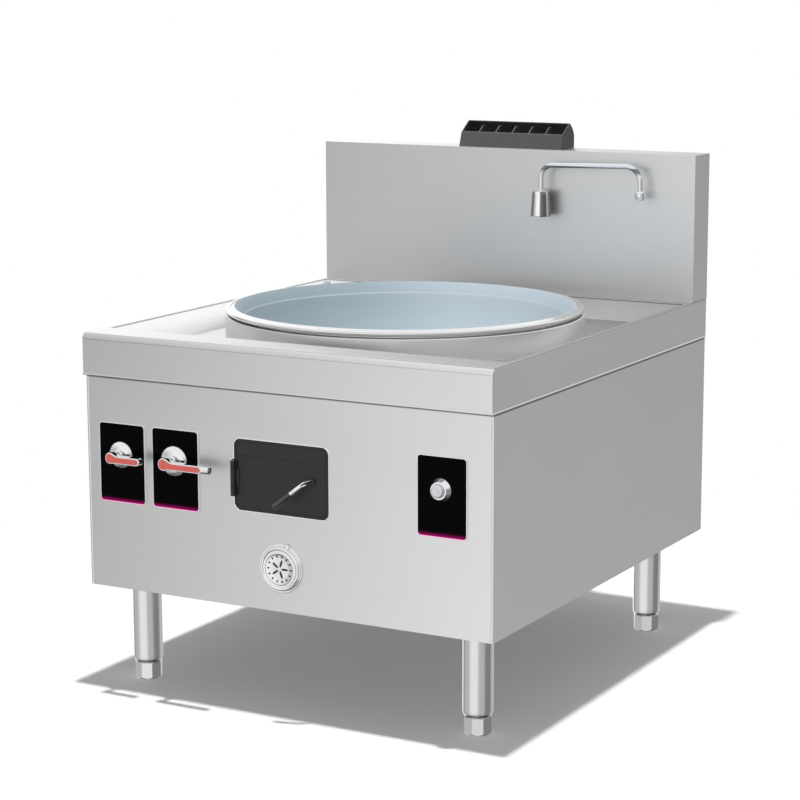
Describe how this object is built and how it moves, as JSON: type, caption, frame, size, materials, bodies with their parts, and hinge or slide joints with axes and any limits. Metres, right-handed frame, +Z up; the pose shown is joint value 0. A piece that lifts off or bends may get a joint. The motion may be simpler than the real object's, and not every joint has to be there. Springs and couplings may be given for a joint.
{
  "type": "commercial wok range",
  "caption": "Gas wok range with one large pot in a raised ring, drain well, backsplash with flue outlet and swing tap, lever controls, firebox hatch, lighting port and levelling feet.",
  "frame": {"origin": "on the floor, below the middle of the whole part's bounding box", "axes": "X to the right as seen from the front, Y from the front controls toward the backsplash, Z up"},
  "size_m": [1, 1.178, 1.197],
  "materials": {
    "steel_sheet": "satin stainless sheet, lengthwise grain",
    "galvanised": "galvanised sheet, fine spangle",
    "polished_steel": "bright brushed stainless tube and ring",
    "wok_steel": "spun steel with a soft blue-grey tone",
    "hood_black": "dark grey enamel",
    "frame_paint": "grey primer on mild steel",
    "refractory": "cast refractory, rough and sandy",
    "cast_iron": "sand-cast surface",
    "brass": "machined brass",
    "pipe_steel": "plain drawn pipe",
    "black_glass": "gloss black plate with a thin silver edge",
    "chrome": "polished chrome",
    "red_inlay": "coral red enamel",
    "pale_button": "pale grey gloss",
    "black_plastic": "matt black",
    "door_black": "semi-gloss black paint"
  },
  "bodies": {
    "range": {"worktop": "steel_sheet", "backsplash": "steel_sheet", "backsplash_cover": "steel_sheet", "front_panel": "steel_sheet", "side_panel_left": "steel_sheet", "side_panel_right": "steel_sheet", "back_panel": "steel_sheet", "bottom_plate": "galvanised", "flue_duct": "galvanised", "air_duct": "galvanised", "port_tube": "galvanised", "hatch_frame": "galvanised", "pot_ring": "polished_steel", "leg_front_left": "polished_steel", "leg_front_right": "polished_steel", "leg_back_left": "polished_steel", "leg_back_right": "polished_steel", "flue_hood": "hood_black", "side_frame_left": "frame_paint", "side_frame_right": "frame_paint", "firebox_shell": "frame_paint", "blower_housing": "frame_paint", "motor": "frame_paint", "gas_rail": "frame_paint", "firebox_lining": "refractory", "burner_body": "cast_iron", "burner_head": "cast_iron", "pilot_valve": "brass", "main_valve": "brass", "main_gas_pipe": "pipe_steel", "pilot_gas_pipe": "pipe_steel", "plate_pilot": "black_glass", "plate_gas": "black_glass", "plate_start": "black_glass", "rose_pilot": "chrome", "rose_gas": "chrome", "start_bezel": "chrome", "port_rivet": "chrome", "tap_body": "chrome", "hinge_pin": "chrome", "switch_body": "black_plastic", "cable_gland": "black_plastic"},
    "wok": {"wok": "wok_steel"},
    "pilot_lever": {"lever_pilot": "chrome", "inlay_pilot": "red_inlay"},
    "gas_lever": {"lever_gas": "chrome", "inlay_gas": "red_inlay"},
    "button": {"start_button": "pale_button"},
    "door": {"hatch_door": "door_black"},
    "latch": {"latch_handle": "chrome", "latch_grip": "black_plastic", "latch_tongue": "chrome"},
    "cover": {"port_cover": "chrome"},
    "spout": {"tap_spout": "chrome", "tap_nozzle": "chrome"},
    "fan": {"impeller": "pipe_steel"},
    "foot_fl": {"foot_front_left": "polished_steel"},
    "foot_fr": {"foot_front_right": "polished_steel"},
    "foot_bl": {"foot_back_left": "polished_steel"},
    "foot_br": {"foot_back_right": "polished_steel"}
  },
  "joints": [
    {"name": "wok_lift", "type": "slide", "parent": "range", "child": "wok", "axis": [0, 0, 1], "range_m": [0, 0.2]},
    {"name": "pilot_lever_turn", "type": "hinge", "parent": "range", "child": "pilot_lever", "pos_m": [-0.406, -0.5505, 0.528], "axis": [0, -1, 0], "range_deg": [0, 90]},
    {"name": "gas_lever_turn", "type": "hinge", "parent": "range", "child": "gas_lever", "pos_m": [-0.267, -0.5505, 0.528], "axis": [0, -1, 0], "range_deg": [0, 90]},
    {"name": "start_press", "type": "slide", "parent": "range", "child": "button", "axis": [0, 1, 0], "range_m": [0, 0.0035], "stiffness_N_per_m": 600, "springref_m": -0.003},
    {"name": "hatch_swing", "type": "hinge", "parent": "range", "child": "door", "pos_m": [-0.1165, -0.5465, 0.5065], "axis": [0, 0, -1], "range_deg": [0, 105]},
    {"name": "latch_turn", "type": "hinge", "parent": "door", "child": "latch", "pos_m": [0.0746, -0.5505, 0.5163], "axis": [0, -1, 0], "range_deg": [0, 53]},
    {"name": "cover_swing", "type": "hinge", "parent": "range", "child": "cover", "pos_m": [0.0132, -0.5505, 0.3694], "axis": [0, -1, 0], "range_deg": [0, 120]},
    {"name": "spout_swing", "type": "hinge", "parent": "range", "child": "spout", "pos_m": [0.1185, 0.4603, 1.0409], "axis": [0, 0, 1], "range_deg": [-180, 0]},
    {"name": "fan_spin", "type": "hinge", "parent": "range", "child": "fan", "pos_m": [-0.33, 0.4595, 0.39], "axis": [1, 0, 0], "continuous": true},
    {"name": "foot_fl_adjust", "type": "slide", "parent": "range", "child": "foot_fl", "axis": [0, 0, -1], "range_m": [0, 0.03]},
    {"name": "foot_fr_adjust", "type": "slide", "parent": "range", "child": "foot_fr", "axis": [0, 0, -1], "range_m": [0, 0.03]},
    {"name": "foot_bl_adjust", "type": "slide", "parent": "range", "child": "foot_bl", "axis": [0, 0, -1], "range_m": [0, 0.03]},
    {"name": "foot_br_adjust", "type": "slide", "parent": "range", "child": "foot_br", "axis": [0, 0, -1], "range_m": [0, 0.03]}
  ]
}
